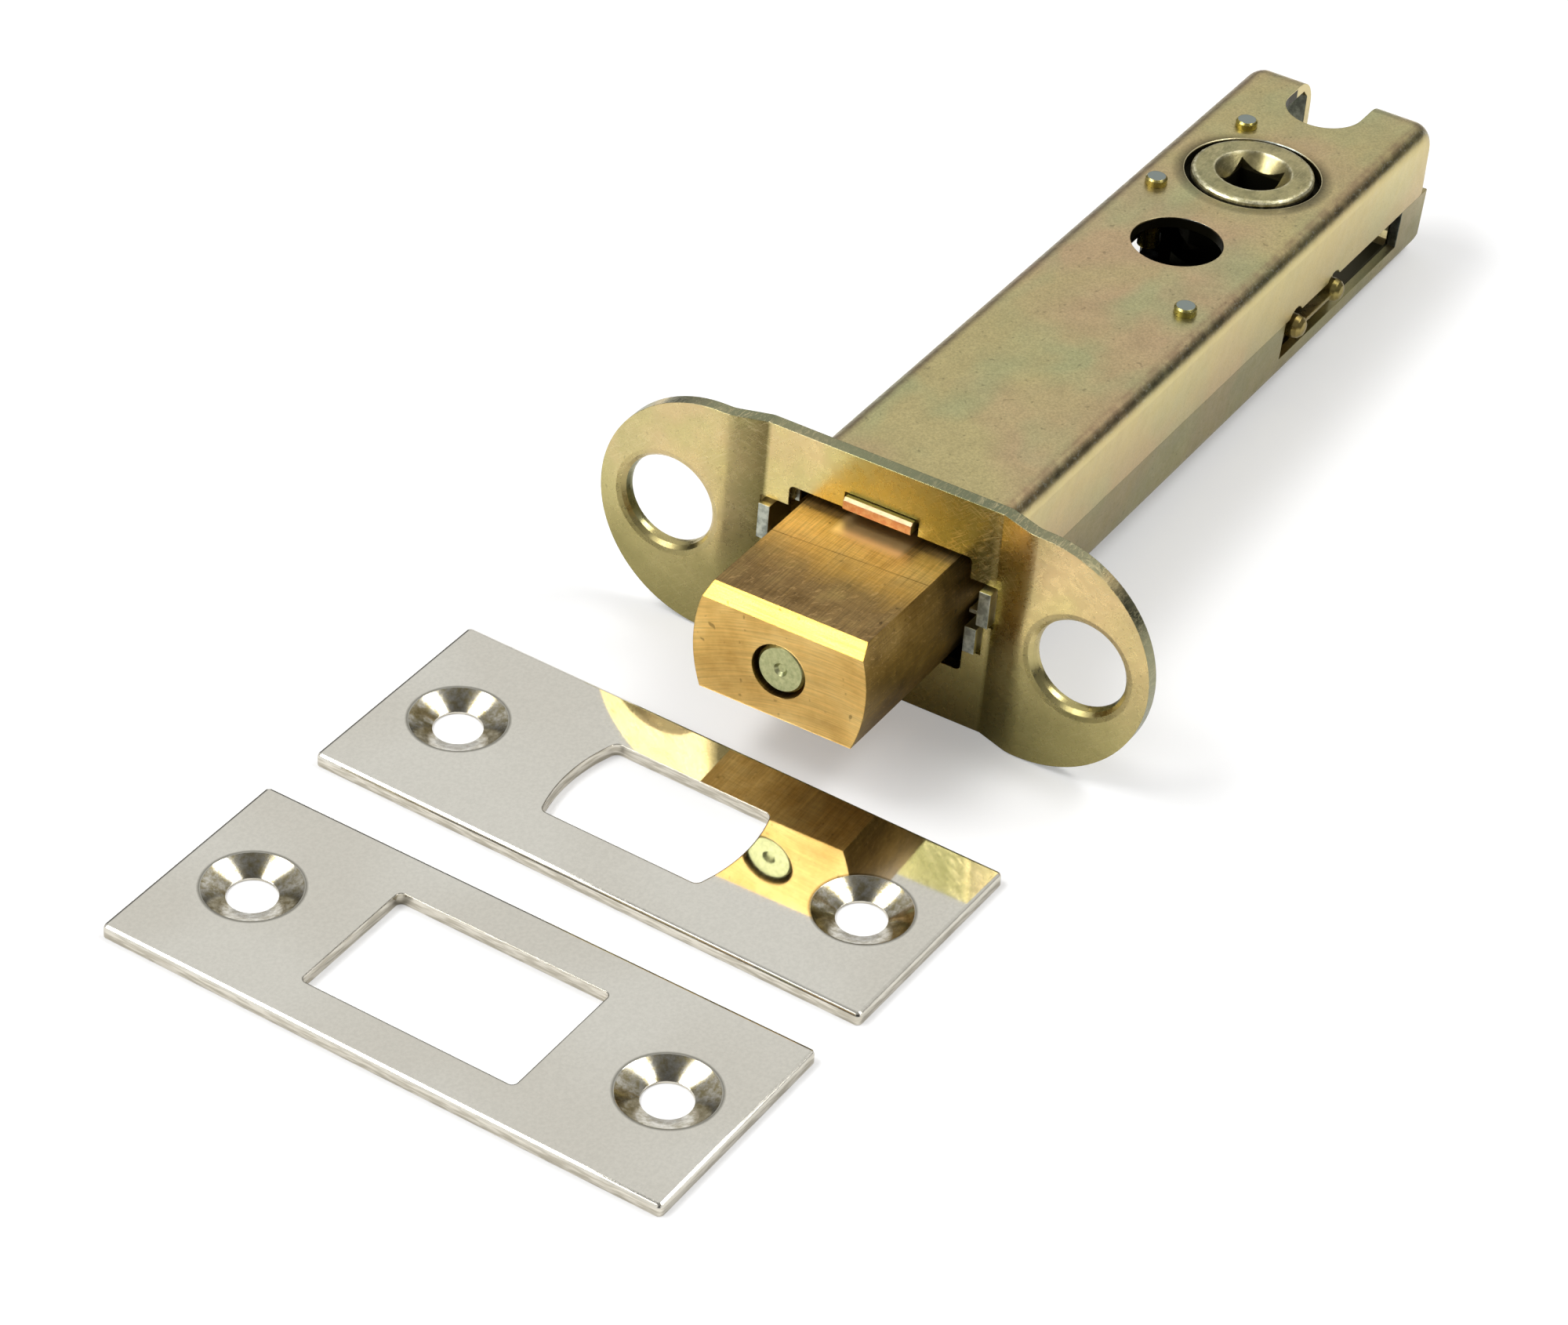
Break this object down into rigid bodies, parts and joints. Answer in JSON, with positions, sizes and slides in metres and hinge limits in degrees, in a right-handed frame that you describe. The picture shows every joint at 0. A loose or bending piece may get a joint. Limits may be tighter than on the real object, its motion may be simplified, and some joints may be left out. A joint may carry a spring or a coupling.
{
  "type": "tubular deadbolt",
  "caption": "Tubular deadbolt with a sliding brass bolt in a two-shell steel case, square spindle follower, forend, and loose face plate and strike plate.",
  "frame": {"origin": "centre of the forend's front face between its two ears, on the bolt's line of travel", "axes": "+X out of the door edge along the bolt's travel, +Y along the forend, +Z square to the case's broad face, along the spindle"},
  "size_m": [0.1706, 0.0672, 0.0281],
  "materials": {
    "passivated_shell": "yellow-passivated zinc plate, satin, faint iridescence",
    "passivated_shell_low": "yellow-passivated zinc plate, satin, darker underside shell",
    "passivated_forend": "yellow-passivated zinc plate, brighter, finely scratched",
    "brass": "drawn brass bar, saw-cut nose, brushed sides",
    "core_steel": "hardened steel pin, turned end",
    "tail_steel": "passivated steel, dull",
    "rivet_steel": "plain steel",
    "follower_steel": "passivated follower with bright worn rim",
    "spring_steel": "blued spring steel",
    "post_steel": "passivated post, cut end blue-grey",
    "nickel_plate": "polished nickel-silver tone plate"
  },
  "bodies": {
    "case": {"case_top": "passivated_shell", "case_bottom": "passivated_shell_low", "forend": "passivated_forend", "post_front": "post_steel", "post_middle": "post_steel", "post_rear": "post_steel", "detent_spring": "spring_steel", "face_plate": "nickel_plate", "strike_plate": "nickel_plate"},
    "bolt": {"bolt": "brass", "core_pin": "core_steel", "tail": "tail_steel", "tail_rivet_left": "rivet_steel", "tail_rivet_right": "rivet_steel", "drive_pin": "rivet_steel"},
    "follower": {"follower": "follower_steel"}
  },
  "joints": [
    {"name": "bolt_slide", "type": "slide", "parent": "case", "child": "bolt", "axis": [1, 0, 0], "range_m": [-0.0144, 0]},
    {"name": "follower_turn", "type": "hinge", "parent": "case", "child": "follower", "pos_m": [-0.0775, 0, 0], "axis": [0, 0, -1], "range_deg": [0, 90]}
  ],
  "couplings": [
    {"joint": "follower_turn", "follows": "bolt_slide", "rad_per_m": -109.08}
  ]
}
